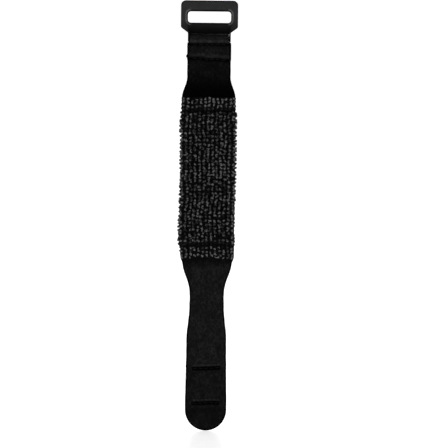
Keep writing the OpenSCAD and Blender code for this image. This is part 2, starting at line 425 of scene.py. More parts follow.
def looped_pile():
    """Terry: black yarn with a painted highlight that makes the crown of each loop paler, and
    patchy from being worn.
    """
    n = Nodes("looped_pile")
    fibre = n.noise(9.0, 4, 0.6, 0.8)
    patches = n.noise(0.35, 3, 0.6)
    # painted highlight: the crown of each loop is painted paler
    crown = n.maths("MULTIPLY", n.attribute("tip"), n.attribute("tone"))
    level = n.vary(n.vary(crown, fibre, 0.35), patches, 0.5)
    colour = n.ramp(
        level, [(0.1, 0.001), (0.42, 0.0075), (0.75, 0.034), (1.0, (0.105, 0.105, 0.109))]
    )
    n.bump(fibre, 0.12, 0.8)
    return n.finish(
        colour, Roughness=0.93, Specular_IOR_Level=0.06, Sheen_Weight=0.012,
        Sheen_Roughness=0.5, Sheen_Tint=(0.6, 0.6, 0.62, 1),
    )


def satin_plastic():
    """Moulded black plastic: fine grain, faint flow marks, painted shade in its hollows and along
    its edges, and a painted reflection, paler at the ends of its slot where webbing runs."""
    n = Nodes("satin_plastic")
    grain = n.noise(14.0, 2, 0.5)
    flow = n.noise(0.5, 4, 0.6, 0.4, n.stretched((0.25, 1.0, 0.6)))
    scuffs = n.noise(1.6, 5, 0.7, 0.2, n.stretched((0.5, 1.0, 3.0)))
    base = n.ramp(flow, [(0.3, 0.0175), (0.7, (0.023, 0.023, 0.0235))])
    # painted shade in the hollows and along the edges
    shade = n.ramp(n.attribute("painted_shade"), [(0.0, 1.0), (0.55, 0.3), (1.0, 0.04)])
    base = n.mix(1.0, base, shade, "MULTIPLY")
    # painted reflection: paler at the slot's ends, broken up by the scuffs
    painted_reflection = n.maths("MULTIPLY", n.attribute("painted_reflection"), n.plus(0.3, scuffs, 0.8))
    n.bump(n.plus(scuffs, grain, 0.5), 0.012, 0.5)
    rough = n.ramp(n.plus(scuffs, grain, 0.3), [(0.4, 0.27), (0.85, 0.37)])
    return n.finish(n.mix(painted_reflection, base, (0.1, 0.1, 0.103)), rough, Specular_IOR_Level=0.02)


def open_foam():
    n = Nodes("open_foam")
    pores = n.pores(2.2)
    colour = n.ramp(pores, [(0.1, 0.07), (0.6, 0.025)])
    n.bump(pores, 0.2, 0.8)
    return n.finish(colour, Roughness=0.95, Specular_IOR_Level=0.1)


def hook_plastic():
    """Moulded hooks on a woven ground: the ground is matt, and the hook heads catch light."""
    n = Nodes("hook_plastic")
    weave = n.noise(4.0, 3, 0.5, 0.0, n.stretched((1.0, 1.0, 0.4)))
    level = n.vary(n.attribute("tip"), weave, 0.4)
    colour = n.ramp(level, [(0.1, 0.007), (1.0, (0.035, 0.035, 0.037))])
    n.bump(weave, 0.04, 0.7)
    rough = n.ramp(level, [(0.1, 0.8), (0.9, 0.38)])
    return n.finish(colour, rough, Specular_IOR_Level=0.3)


def sewing_thread():
    n = Nodes("sewing_thread")
    fuzz = n.noise(8.0, 4, 0.6)
    level = n.vary(n.attribute("tip"), fuzz, 0.6)
    colour = n.ramp(level, [(0.1, 0.0008), (1.0, (0.005, 0.005, 0.0052))])
    n.bump(fuzz, 0.03, 0.6)
    return n.finish(colour, Roughness=0.7, Specular_IOR_Level=0.08)


# ---- the strap

RIM = 1.1                 # width of the rolled edge of the cloth
ROW_STEP = 0.3            # spacing of the rows of points along the strap
ACROSS = 64               # points from edge to edge
PINCH_Z = BAR_Z - 2.55    # where the fold is sewn down below the ring's lower bar
SKIM = 0.04               # how much thinner the cloth is than its CAD solid
BAR_PLY = 1.2             # thickness of the cloth where it is pulled round the bar
BAR_RISE_Z = BAR_Z - 3.4  # where the cloth starts to part for the bar
FLAP_SHARE = 0.35         # how much of the front's relief shows on the flap
TIP_ROW_HALF = 6.4        # half the length of the sewn rows on the tip


# Each piece of the strap below its head, with the hinge where it bends and its CAD nodes.
STRAP_PLAN = [
    ("strap_neck", "head_bend", "strap_neck_top"),
    ("strap_under_hem_top", "hem_top_bend", "strap_hem_top"),
    ("strap_under_pad_top", "pad_top_bend", "strap_pad_top", "strap_pad_centre"),
    ("strap_under_pad_bottom", "pad_bottom_bend", "strap_pad_bottom"),
    ("strap_under_hem_bottom", "hem_bottom_bend", "strap_hem_bottom"),
    ("tail_root", "tail_bend", "tail_1"),
    ("tail_neck", "tail_bend_2", "tail_2"),
    ("tail_flare", "tail_bend_3", "tail_3"),
    ("tail_wide", "tail_bend_4", "tail_4"),
    ("tail_fold_a", "tail_fold", "tail_fold_1"),
    ("tail_fold_b", "tail_fold_middle", "tail_fold_2"),
    ("tip_patch_a", "tail_fold_end", "tip_root"),
    ("tip_patch_b", "tip_bend", "tip_middle"),
    ("tip_rounded", "tip_bend_end", "tip_end_link"),
]


def middle_z(node):
    return sum(corner[2] for corner in box_mm(node)) / 2


STITCH_ROWS_TIP = [middle_z("thread_patch_top"), middle_z("thread_patch_bottom")]


def flat(x, z):
    return np.zeros(np.broadcast(x, z).shape)


def ridges(z, rows):
    """Ridges and grooves across the strap: rows of (middle z, half width, height)."""
    return sum(height * hump((z - middle) / half) for middle, half, height in rows)


def read_outline():
    names = ["strap_head"] + [node for row in STRAP_PLAN for node in row[2:]]
    points = np.vstack([read_vertices(frame["nodes"][n].data) / MM for n in names])
    levels = np.unique(np.round(points[:, 2], 1))
    widths = [np.abs(points[np.abs(points[:, 2] - z) < 0.12, 0]).max() for z in levels]
    return levels, np.array(widths)


OUTLINE_Z, OUTLINE_HALF = read_outline()


def half_width(z):
    """Half width of the strap at height z: the CAD outline, softened, and round at the tip."""
    near = [np.interp(z + dz, OUTLINE_Z, OUTLINE_HALF) for dz in (-0.8, -0.3, 0.3, 0.8)]
    straight = np.mean(near, axis=0) + 0.06 * noise(z, 0, 3.1, 11)
    drop = np.clip(TIP_CENTRE_Z - z, 0, TIP_R)
    rounded = np.sqrt(np.maximum(TIP_R**2 - drop**2, 0))
    return np.where(z < TIP_CENTRE_Z, rounded, np.minimum(straight, PAD_HALF_W))


def slanted_seam_z(x):
    """The row that holds the folded end: it runs a little downhill from left to right."""
    return FLAP_END_Z + 0.75 - 0.06 * x + 0.3 * noise(x, 0, 4.0, 5)


def head_relief(x, z):
    """Puffs and seams of the head's front: the sewn-down fold, then one full band."""
    seam = slanted_seam_z(x)
    middle, reach = (PINCH_Z + seam) / 2, (PINCH_Z - seam) / 2
    swell = 0.35 * np.sqrt(np.clip(1 - ((z - middle) / reach) ** 2, 0, 1))
    nick = -0.15 * hump((x - 4.6) / 1.2) * hump((z - seam) / 1.6)
    creases = 0.09 * noise(x, z, 2.4, 21) * hump((z - middle) / (reach + 0.5))
    return swell + nick + creases + ridges(z, [
        (PINCH_Z, 0.9, -0.5), (PINCH_Z + 1.75, 1.1, 0.34),
        (seam, 1.0, -0.55), (seam + 1.7, 1.6, 0.55),
    ])


def tip_row_z(row):
    """Height along a sewn row on the tip: it wavers, and climbs a little to the right."""
    return lambda x: row + 0.04 * x + 0.12 * noise(x, row, 2.6, 8)


def tip_relief(x, z):
    """The rows that sew the hook patch on: a raised lip above and a groove below."""
    total = flat(x, z)
    for row in STITCH_ROWS_TIP:
        along = smoothstep((TIP_ROW_HALF + 0.5 - np.abs(x)) / 1.0)
        wave = tip_row_z(row)(x)
        total += along * ridges(z, [(wave + 1.5, 1.0, 0.45), (wave, 1.3, -0.6)])
    return total


def cloth_relief(x, z, seed):
    """The uneven thickness of any brushed cloth."""
    return 0.035 * noise(x, z, 0.8, seed) + 0.05 * noise(x, z, 3.0, seed + 1)


def ribbon(name, centre, normal, thickness, half, front, back, left=0.0, nap=1.0):
    """A strip with a rolled edge. centre and normal are rows of (y, z); front and back
    are functions of (x, z) that raise the two faces, left widens the left edge, and nap
    is how uneven the faces and how wide the rolled edges are."""
    u = np.sin(np.linspace(-1, 1, ACROSS) * math.pi / 2)[None, :]
    left, nap = (np.broadcast_to(v, len(centre))[:, None] for v in (left, nap))
    x = u * half[:, None] - left * np.clip(-u, 0, 1)
    z = np.broadcast_to(centre[:, 1:2], x.shape)
    inside = half[:, None] * (1 - np.abs(u))
    below = z < TIP_CENTRE_Z
    inside = np.where(below, TIP_R - np.hypot(x, z - TIP_CENTRE_Z), inside)
    inside = np.clip(inside / (RIM * (0.15 + 0.85 * nap)), 0, 1)
    roll = np.sqrt(1 - (1 - inside) ** 2)
    depth = thickness[:, None] / 2 * roll + 0.02
    keep = smoothstep(inside * 1.3)
    faces = []
    for sign, relief, seed in ((1, front, 31), (-1, back, 47)):
        lift = depth + keep * (relief(x, z) + nap * cloth_relief(x, z, seed))
        lift = np.maximum(lift, 0.02)
        y = centre[:, 0:1] + sign * normal[:, 0:1] * lift
        height = z + sign * normal[:, 1:2] * lift
        faces.append(np.stack([x, y, height], -1))
    # the colour carries painted shade and highlight: the cloth's painted shading, and the pad's
    # painted shadow on the front
    shade = round_trip(painted_cloth_shade(front(x, z), z) * pad_shade(z), painted_cloth_shade(back(x, z), z))
    attributes = {"edge": round_trip(inside, inside), "shade": shade}
    return loft(name, round_trip(*faces), attributes)


def painted_cloth_shade(relief, z):
    """Painted shade and highlight in the colour of the nap: darker in the grooves where it is
    sewn down, on the head and on the tip, and paler on ridges and on the fold round the bar."""
    # painted shade in the grooves where the cloth is sewn down
    sewn = np.clip(1 - 3.4 * np.maximum(-relief, 0), 0.02, 1)
    # painted highlight on ridges
    painted_highlight = 1 + 3.2 * np.clip(relief - 0.12, 0, 0.8)
    # painted shade on the head, between the pad's top and the pinch
    head = 1 - 0.55 * smoothstep((z - PAD_TOP_Z + 2.1) / 4) * smoothstep((PINCH_Z + 0.25 - z) / 1.2)
    # painted highlight on the fold round the lower bar
    painted_fold_highlight = 1 + 0.25 * smoothstep((z - PINCH_Z - 0.55) / 0.5)
    # painted shade on the tip, darker towards its round end
    tip = 1 - 0.2 * smoothstep((-85 - z) / 3) - 0.25 * smoothstep((TIP_CENTRE_Z + 2.5 - z) / 2)
    return sewn * painted_highlight * head * painted_fold_highlight * tip


def pad_shade(z):
    """The pad shades the front of the cloth next to its two ends."""
    above, below = z - PAD_TOP_Z, -z - PAD_TOP_Z
    by_top = 1 - 0.88 * smoothstep((11.9 - above) / 10) * smoothstep((above + 8.1) / 3)
    by_foot = 1 - 0.6 * smoothstep((4.9 - below) / 5) * smoothstep((below + 4.1) / 3)
    return by_top * by_foot


def straight_rows(high, low):
    """Heights of a piece's rows of points, closer together towards the round end."""
    if low > TIP_Z + 0.01:
        return np.linspace(high, low, max(4, round((high - low) / ROW_STEP)))
    swing = np.linspace(0, math.pi / 2 - 0.035, 48)
    round_end = TIP_CENTRE_Z - TIP_R * np.sin(swing)
    return np.concatenate([np.linspace(high, TIP_CENTRE_Z, 22)[:-1], round_end])


def strap_piece(name, hinge, nodes, material, relief=flat):
    h = HINGES[hinge]
    z = straight_rows(h["high"], h["low"])
    centre = np.stack([np.full(len(z), NEUTRAL_Y), z], -1)
    normal = np.tile([-1.0, 0.0], (len(z), 1))
    thickness = np.full(len(z), PLY - SKIM)
    obj = ribbon(name, centre, normal, thickness, half_width(z), relief, flat)
    return fit_piece(obj, material, nodes)


def head_path():
    """Centre line of the head's cloth, up the front, round the lower bar and down the back:
    its (y, z), thickness, side (1 front, 0 round the bar, -1 back) and unevenness."""
    outer_radius = BAR_Y - box_mm("bar_fold")[0][1]
    radius = outer_radius - BAR_PLY / 2 - 0.01
    z_front = np.arange(HINGES["head_bend_upper"]["low"], BAR_Z, ROW_STEP)
    s = smoothstep((z_front - BAR_RISE_Z) / (BAR_Z - BAR_RISE_Z))
    y_front = NEUTRAL_Y + (BAR_Y - radius - NEUTRAL_Y) * s
    turn = np.linspace(math.pi, 0, 26)
    z_back = np.arange(BAR_Z, FLAP_END_Z, -ROW_STEP)[1:]
    s_back = smoothstep((z_back - BAR_RISE_Z - 1) / (BAR_Z - BAR_RISE_Z - 1))
    flap_y = BACK_Y + PLY / 2
    y_back = flap_y + (BAR_Y + radius - flap_y) * s_back
    y = np.concatenate([y_front, BAR_Y + radius * np.cos(turn), y_back])
    z = np.concatenate([z_front, BAR_Z + radius * np.sin(turn), z_back])
    pressed = np.concatenate([s, np.ones(len(turn)), s_back])
    thickness = (PLY - SKIM) + (BAR_PLY - PLY + SKIM) * pressed
    side = np.concatenate([np.ones(len(z_front)), np.zeros(len(turn)), -np.ones(len(z_back))])
    return np.stack([y, z], -1), thickness, side, 1 - 0.8 * pressed


def head_piece(material):
    centre, thickness, side, nap = head_path()
    tangent = unit(np.gradient(centre, axis=0))
    normal = np.stack([-tangent[:, 1], tangent[:, 0]], -1)
    z = centre[:, 1]
    on_front = side > 0
    shoulder_z = np.where(on_front, BAR_Z - 1.85, BAR_Z - 2.4)   # lower where the ring turns
    narrow = smoothstep((z - shoulder_z) / 0.4)
    wide = np.where(on_front, half_width(np.minimum(z, BAR_Z - 4)), HEAD_HALF_W + 0.12)
    half = wide + (FOLD_HALF_W + 0.06 - wide) * narrow
    nub = np.where(on_front, 0.0, 0.5 * hump((z - FLAP_END_Z - 2.1) / 1.2))
    share = side[:, None]

    def front(x, z_here):
        """The full relief in front, a weaker one on the flap, and none round the bar."""
        shape = head_relief(x, z_here)
        behind = FLAP_SHARE * np.where(z_here > PINCH_Z - 1, np.minimum(shape, 0), shape)
        return np.where(share > 0, shape, np.where(share < 0, behind, 0))

    obj = ribbon("strap_head_fold", centre, normal, thickness, half, front, flat, nub, nap)
    nodes = ["strap_head", "bar_fold", "folded_flap"]
    return fit_piece(obj, material, nodes)


def build_strap(material):
    tip_parts = ("tip_patch_a", "tip_patch_b", "tip_rounded")
    pieces = {"strap_head_fold": head_piece(material)}
    for name, hinge, *nodes in STRAP_PLAN:
        relief = tip_relief if name in tip_parts else flat
        pieces[name] = strap_piece(name, hinge, nodes, material, relief)
    return pieces


# ---- the pile pad

TERRY_Y = 1.35            # front of the woven ground, under the loops
TERRY_EDGE_R = 2.3        # radius of the ground's long edges
TERRY_SKIN = 0.8          # thickness of the woven ground
TERRY_HALF_W = PAD_HALF_W - 0.85
TERRY_ARC = TERRY_HALF_W - TERRY_EDGE_R + TERRY_EDGE_R * math.pi / 2
HEM_Y = 2.5               # front of the ground on the flat hems
GROOVE_Y = 3.5            # and down in the sewn grooves
YARN_R = 0.2
COLUMN_PITCH = 1.95       # from tuft to tuft across the pad
ROW_PITCH = 1.6           # from tuft to tuft along it
LOW_PITCH = 1.15          # between the low loops that fill the gaps
LOOP_POINTS = 9           # along each loop
YARN_CORNERS = 6          # round each yarn


def groove_z(x, sign):
    """Where the pile is sewn down: straight at the top, arched at the bottom."""
    if sign > 0:
        return PAD_TOP_Z - 6.7 + 0.3 * noise(x, 0, 6, 61)
    return -PAD_TOP_Z + 6.5 + 1.3 * (1 - (x / PAD_HALF_W) ** 2) + 0.25 * noise(x, 0, 6, 62)


def pad_end_z(x, sign):
    """The outer edge of the hem."""
    if sign > 0:
        return PAD_TOP_Z - 0.5 + 0.2 * noise(x, 0, 5, 63)
    return -PAD_TOP_Z + 0.5 + 1.0 * (1 - (x / PAD_HALF_W) ** 2) + 0.2 * noise(x, 0, 5, 64)


def ground_y(x, z):
    """Front of the woven ground at a point of the pad, before its long edges turn."""
    sign = 1 if np.mean(z) > 0 else -1
    groove = groove_z(x, sign)
    past = sign * (z - groove)
    level = TERRY_Y + (HEM_Y - TERRY_Y) * smoothstep((past + 1.2) / 2.4)
    level = level + (GROOVE_Y - level) * hump(past / 1.5) * 0.8
    sag = 0.18 * noise(x, z, 7, 65) + 0.1 * noise(x, z, 2.6, 66)
    crown = 0.35 * (np.abs(x) / PAD_HALF_W) ** 3
    return level + sag + crown


def ground_half_width(z, sign):
    """The hem is drawn in a little towards the end of the pad, more so at the bottom."""
    past = np.clip((sign * z - 30.0) / 8.0, 0, 1)
    drawn = (0.5 if sign > 0 else 1.0) * smoothstep(past)
    return TERRY_HALF_W - drawn + 0.22 * noise(z, 3, 5.0, 67)


def ground_surface(s, z, sign):
    """Point and outward direction on the woven ground: s runs across it, 0 at the middle."""
    half = ground_half_width(z, sign)
    r = TERRY_EDGE_R
    flat_half = half - r
    side = np.sign(s)
    over = np.maximum(np.abs(s) - flat_half, 0)
    angle = np.minimum(over / r, math.pi / 2)
    down = np.maximum(over - r * math.pi / 2, 0)
    x = np.where(over > 0, side * (flat_half + r * np.sin(angle)), s)
    front = ground_y(np.clip(x, -flat_half, flat_half), z)
    room = FRONT_Y - 0.05 - front - r
    y = front + r * (1 - np.cos(angle)) + np.minimum(down, np.maximum(room, 0))
    y = np.minimum(y, FRONT_Y - 0.02)
    x = x - 0.55 * hump((z + 23) / 24)      # the pad lies a little to the left lower down
    point = np.stack([x, y, z], -1)
    out = np.stack([side * np.sin(angle), -np.cos(angle), np.zeros_like(x)], -1)
    return point, out


def terry_ground(high, low, sign):
    """The woven ground as a closed channel over the foam: rings of outer and inner points."""
    rows = max(4, int(abs(high - low) / 0.45))
    share = np.linspace(0, 1, rows)[:, None]
    reach = TERRY_ARC + 1.3
    s = np.linspace(-reach, reach, 90)[None, :]
    x_guess = np.clip(s, -PAD_HALF_W, PAD_HALF_W)
    top, bottom = high + 0 * x_guess, low + 0 * x_guess
    if sign > 0 and high > PAD_TOP_Z - 1:
        top = pad_end_z(x_guess, sign)
    if sign < 0 and low < -PAD_TOP_Z + 1:
        bottom = pad_end_z(x_guess, sign)
    z = top + (bottom - top) * share
    s = np.broadcast_to(s, z.shape)
    outer, out = ground_surface(s, z, sign)
    end = np.minimum(np.abs(z - pad_end_z(outer[..., 0], sign)) / 1.0, 1.0)
    thin = TERRY_SKIN * np.sqrt(1 - (1 - end) ** 2 * 0.9)
    outer = outer + out * (0.1 * noise(outer[..., 0], z, 0.7, 71) - (1 - end) * 0.5)[..., None]
    inner = outer - out * thin[..., None]
    inner[..., 1] = np.minimum(inner[..., 1], FRONT_Y - 0.01)
    return round_trip(outer, inner)


def pile_field(rng, high, low):
    """Where loops stand: tufts of tall loops in wavering rows and columns, and low loops
    between them. Returns columns of s, z, height, half span, heading and tone."""
    span = TERRY_ARC + 0.6
    found = []
    for z0 in np.arange(-ROW_PITCH * 25, ROW_PITCH * 25, ROW_PITCH):
        for s0 in np.arange(-COLUMN_PITCH * 9, COLUMN_PITCH * 9 + 0.1, COLUMN_PITCH):
            s_mid = s0 + 0.55 * float(noise(s0, z0, 9, 81)) + rng.normal(0, 0.17)
            z_mid = z0 + 0.7 * float(noise(s0, z0, 7, 82)) + rng.normal(0, 0.2)
            tone = np.clip(rng.normal(0.9, 0.18), 0.4, 1.3)
            size = rng.normal(1.0, 0.12)
            lean = rng.normal(0, 0.6)
            loops = rng.integers(4, 6)
            if abs(s_mid) > span or not low - 0.4 < z_mid < high + 0.4:
                continue
            for k in range(loops):
                found.append((
                    s_mid + rng.normal(0, 0.16), z_mid + rng.normal(0, 0.16),
                    size * rng.uniform(1.05, 1.45), rng.uniform(0.24, 0.38),
                    lean + k * 0.8 + rng.normal(0, 0.3), tone + rng.normal(0, 0.12),
                ))
    for z0 in np.arange(low + 0.3, high - 0.1, LOW_PITCH):
        for s0 in np.arange(-span, span + 0.1, LOW_PITCH):
            found.append((
                s0 + rng.normal(0, 0.28), z0 + rng.normal(0, 0.28), rng.uniform(0.35, 0.6),
                rng.uniform(0.3, 0.45), rng.uniform(0, math.pi), rng.uniform(0.05, 0.3),
            ))
    return np.array(found)


def pile(rng, high, low, sign):
    """Yarn loops that stand on the ground between two heights. They are shorter on the hem,
    in the grooves and down the sides."""
    s, z, height, half_span, heading, tone = pile_field(rng, high, low).T
    x_here = np.clip(s, -PAD_HALF_W, PAD_HALF_W)
    past = sign * (z - groove_z(x_here, sign))
    groove = np.abs(past)
    end_gap = sign * (pad_end_z(x_here, sign) - z)
    keep = (end_gap > 0.35) & (z < high - 0.05) & (z > low + 0.05) & (groove > 0.25)
    height = height * np.where(past > 0, 0.62, 1.0) * (0.35 + 0.65 * smoothstep(groove / 1.6))
    # painted shade: darker towards the sewn groove, and a little paler past it on the hem
    tone = tone * (0.35 + 0.65 * smoothstep(groove / 1.8)) * np.where(past > 0, 1.1, 1.0)
    on_side = smoothstep((np.abs(s) - TERRY_HALF_W + TERRY_EDGE_R) / 2.0)
    height = height * (1 - 0.38 * on_side)
    # painted highlight: paler down the rounded sides; also paler along the hem's edge
    tone = tone * (1 + 0.25 * on_side) * (1 + 0.35 * hump((end_gap - 0.8) / 0.9))
    s, z, height, half_span, heading, tone = (
        v[keep] for v in (s, z, height, half_span, heading, tone)
    )
    foot, out = ground_surface(s, z, sign)
    across = np.stack([-out[:, 1], out[:, 0], np.zeros(len(s))], -1)
    run = np.sin(heading)[:, None] * across + np.cos(heading)[:, None] * UP
    side = np.cross(run, out)
    lean = rng.normal(0, 0.2, (len(s), 2))
    t = np.linspace(0, 1, LOOP_POINTS)[None, :, None]
    swing = np.cos(math.pi * t)
    arch = np.sin(math.pi * t) ** 0.75
    splay = 1 + 0.35 * np.sin(math.pi * t)
    centre = (
        foot[:, None] - out[:, None] * 0.25
        - run[:, None] * half_span[:, None, None] * swing * splay
        + out[:, None] * (height + 0.25)[:, None, None] * arch
        + across[:, None] * (lean[:, 0] * height)[:, None, None] * arch
        + UP * (lean[:, 1] * height)[:, None, None] * arch
        + side[:, None] * rng.normal(0, 0.12, (len(s), 1, 1)) * swing
    )
    radius = YARN_R * rng.uniform(0.8, 1.2, (len(s), 1))
    points, faces = tubes(centre, side, radius, YARN_CORNERS)
    # painted highlight at the crown of each loop
    crown = np.repeat(np.sin(math.pi * t[0, :, 0]), YARN_CORNERS)
    tones = np.repeat(tone, LOOP_POINTS * YARN_CORNERS)
    return points, faces, {"tip": np.tile(crown, len(s)), "tone": tones}


def terry_piece(name, hinge, nodes, material, seed):
    h = HINGES[hinge]
    sign = 1 if h["z"] > 0 else -1
    at_end = hinge.startswith("hem")
    high = PAD_TOP_Z if at_end and sign > 0 else h["high"]
    low = -PAD_TOP_Z if at_end and sign < 0 else h["low"]
    ground = terry_ground(high, low, sign)
    faces = grid_faces(*ground.shape[:2])[:, ::-1]
    ground = ground.reshape(-1, 3)
    shade = {"tip": np.full(len(ground), 0.35), "tone": np.full(len(ground), 0.25)}
    rng = np.random.default_rng(seed)
    parts = [(ground, [faces], shade), pile(rng, high, low, sign)]
    obj = make_mesh(name, *join_parts(parts))
    fit_piece(obj, material, nodes)


def foam_piece(name, hinge, nodes, material):
    """The foam insert: a slab with rounded long edges, inside the channel."""
    sign = 1 if HINGES[hinge]["z"] > 0 else -1
    z = np.linspace(0, sign * (PAD_TOP_Z - 8.3), 50)      # it stops short of the groove
    turn = np.linspace(0, 2 * math.pi, 64, endpoint=False) + math.pi / 64
    power = 0.28        # how square the slab's section is: 1 is an ellipse, 0 a rectangle
    half_w = TERRY_HALF_W - TERRY_SKIN - 0.35
    front = TERRY_Y + TERRY_SKIN + 0.55
    middle, half_t = (front + FRONT_Y) / 2, (FRONT_Y - front) / 2 - 0.03
    x = half_w * np.sign(np.cos(turn)) * np.abs(np.cos(turn)) ** power
    y = half_t * np.sign(np.sin(turn)) * np.abs(np.sin(turn)) ** power
    shrink = np.sqrt(1 - np.clip((np.abs(z) - np.abs(z).max() + 1.2) / 1.2, 0, 0.98) ** 2)
    z, shrink = z[:, None], shrink[:, None]
    rings = np.broadcast_arrays(x * (0.94 + 0.06 * shrink), middle + y * shrink, z)
    rings = np.stack(rings, -1)
    obj = fit_piece(loft(name, rings), material, nodes)


# ---- ring, hooks and thread

SLOT_MOUNT = next(m for m in frame["record"]["mounts"] if m["name"] == "webbing_slot")
SLOT_MIDDLE = np.array([0.0, SLOT_MOUNT["pos_m"][2] / MM])
SLOT_HALF = np.array([10.0, 2.6])      # half its width and height
SLOT_CORNER_R = 1.4
EDGE_R = 0.62             # of the ring's rounded edges
RING_VOXEL = 0.13
FOOT_Z = FOLD_TOP_Z + 0.14             # lower edge of the middle bar
HOOK_GROUND = 0.34        # thickness of the hook tape without its hooks
HOOK_PITCH = 0.85
HOOK_CORNERS = 8
TAPE_ACROSS = 40          # points across the hook tape
STITCH_PITCH = 2.6
STITCH_HALF = 0.95        # half the length of a stitch
STITCH_R = 0.2
STITCH_CORNERS = 10


def dish_slot_ends(points):
    """Sinks the ring's front round the two ends of its slot into a shallow sloping rim.
    Returns the moved points, how much painted reflection each of them gets on that rim, and
    how far each is from the slot."""
    away = np.abs(points[:, [0, 2]] - SLOT_MIDDLE) - (SLOT_HALF - SLOT_CORNER_R)
    gap = np.hypot(*np.maximum(away, 0).T) + np.minimum(away.max(1), 0) - SLOT_CORNER_R
    ends = smoothstep((np.abs(points[:, 0]) - 8.2) / 1.4)
    sink = 0.62 * smoothstep(1 - gap / 1.75) * ends
    front = smoothstep((BACK_Y + 0.4 - points[:, 1]) / 1.2)
    points = points.copy()
    points[:, 1] += sink * front
    # painted reflection on the sloping rim at the slot's two ends
    painted_highlight = hump((gap - 0.85) / 0.55) * ends * front
    # The foot of the middle bar comes down close to the fold.
    near_fold = smoothstep((FOLD_TOP_Z + 0.8 - points[:, 2]) / 0.6) * (points[:, 2] > FOLD_TOP_Z)
    points[:, 2] -= 0.11 * near_fold * (np.abs(points[:, 0]) < FOLD_HALF_W + 0.05)
    return points, painted_highlight, gap


def painted_ring_shade(points, normals, painted_highlight, gap):
    """Painted shade: how dark each point of the ring is, down the slope to the fold and along the
    edges.
    """
    # painted shade down the slope to the fold
    slope = np.clip((FOLD_TOP_Z + 5.9 - points[:, 2]) / 4.6, 0, 1) ** 0.6
    slope = slope * (0.45 + 0.55 * smoothstep(FOLD_HALF_W + 1.4 - np.abs(points[:, 0])))
    slant = 1 - np.abs(normals).max(1) ** 6          # 0 on flats, more on rounded edges
    # painted shade along the rounded edges and round the slot
    rim = np.maximum(smoothstep((slant - 0.12) / 0.5), 1.1 * smoothstep((0.85 - gap) / 0.35))
    return np.maximum(slope, 0.85 * rim * (1 - painted_highlight))


def moulded_ring(material):
    """The CAD ring with its edges rounded over and its surface fused, as moulded plastic."""
    mesh = frame["nodes"]["ring"].data.copy()
    work = bmesh.new()
    work.from_mesh(mesh)
    bmesh.ops.scale(work, vec=(1 / MM,) * 3, verts=work.verts)
    bmesh.ops.remove_doubles(work, verts=work.verts, dist=0.002)
    bmesh.ops.dissolve_limit(
        work, angle_limit=math.radians(1.5), verts=work.verts, edges=work.edges
    )
    weight = work.edges.layers.float.new("bevel_weight_edge")
    for edge in work.edges:
        if edge.is_manifold and edge.calc_face_angle(0) > math.radians(38):
            middle = (edge.verts[0].co + edge.verts[1].co) / 2
            at_fold = abs(middle.x) < FOLD_HALF_W + 0.3 and abs(middle.z - FOOT_Z) < 0.1
            thin = middle.z < FOLD_TOP_Z + 1.2      # the ears and the lower bar
            edge[weight] = 0.0 if at_fold else 0.3 if thin else 1.0
    work.to_mesh(mesh)
    work.free()
    obj = add_object("ring_moulded", mesh)
    bevel = obj.modifiers.new("edges", "BEVEL")
    bevel.width, bevel.segments = EDGE_R, 4
    bevel.limit_method = "WEIGHT"
    bevel.use_clamp_overlap = False
    remesh = obj.modifiers.new("fuse", "REMESH")
    remesh.mode, remesh.voxel_size, remesh.use_smooth_shade = "VOXEL", RING_VOXEL, True
    smooth = obj.modifiers.new("soften", "SMOOTH")
    smooth.factor, smooth.iterations = 0.5, 5
    evaluated = obj.evaluated_get(bpy.context.evaluated_depsgraph_get())
    done = bpy.data.meshes.new_from_object(evaluated)
    obj.modifiers.clear()
    obj.data = done
    bpy.data.meshes.remove(mesh)
    rest, normals = read_vertices(done), read_vertices(done, "normal")
    points, painted_highlight, gap = dish_slot_ends(rest)
    # painted shade and painted reflection, kept as point values for the material
    painted_shade = painted_ring_shade(points, normals, painted_highlight, gap)
    add_values(done, {"rest": rest, "painted_reflection": painted_highlight, "painted_shade": painted_shade})
    done.vertices.foreach_set("co", (points * MM).reshape(-1))
    done.update()
    dress(obj, material)
    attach(obj, "buckle")
    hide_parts("ring")


def hook_field(rng, high, low):
    """Small mushroom-headed hooks in staggered rows between two heights."""
    half = HOOK_HIGH[0] - 0.5
    rows = np.arange(low + 0.5, high - 0.3, HOOK_PITCH)
    spots = []
    for k, z in enumerate(rows):
        for x in np.arange(-half + 0.4 * (k % 2), half + 0.01, HOOK_PITCH):
            spots.append((x + rng.normal(0, 0.04), z + rng.normal(0, 0.04)))
    spots = np.array(spots)
    foot = BACK_Y + HOOK_GROUND - 0.06
    top = HOOK_HIGH[1] - 0.02
    t = np.array([0.0, 0.35, 0.6, 0.72, 0.86, 0.96, 1.0])            # up the hook
    radius = np.array([0.16, 0.11, 0.1, 0.2, 0.27, 0.2, 0.08])       # stem, then head
    centres = np.zeros((len(spots), len(t), 3))
    centres[..., 0] = spots[:, :1] + 0.05 * t * rng.choice([-1, 1], (len(spots), 1))
    centres[..., 1] = foot + (top - foot) * t
    centres[..., 2] = spots[:, 1:]
    points, faces = tubes(centres, UP, radius, HOOK_CORNERS)
    tips = np.tile(np.repeat(0.25 + 0.75 * t, HOOK_CORNERS), len(spots))
    return points, faces, {"tip": tips}


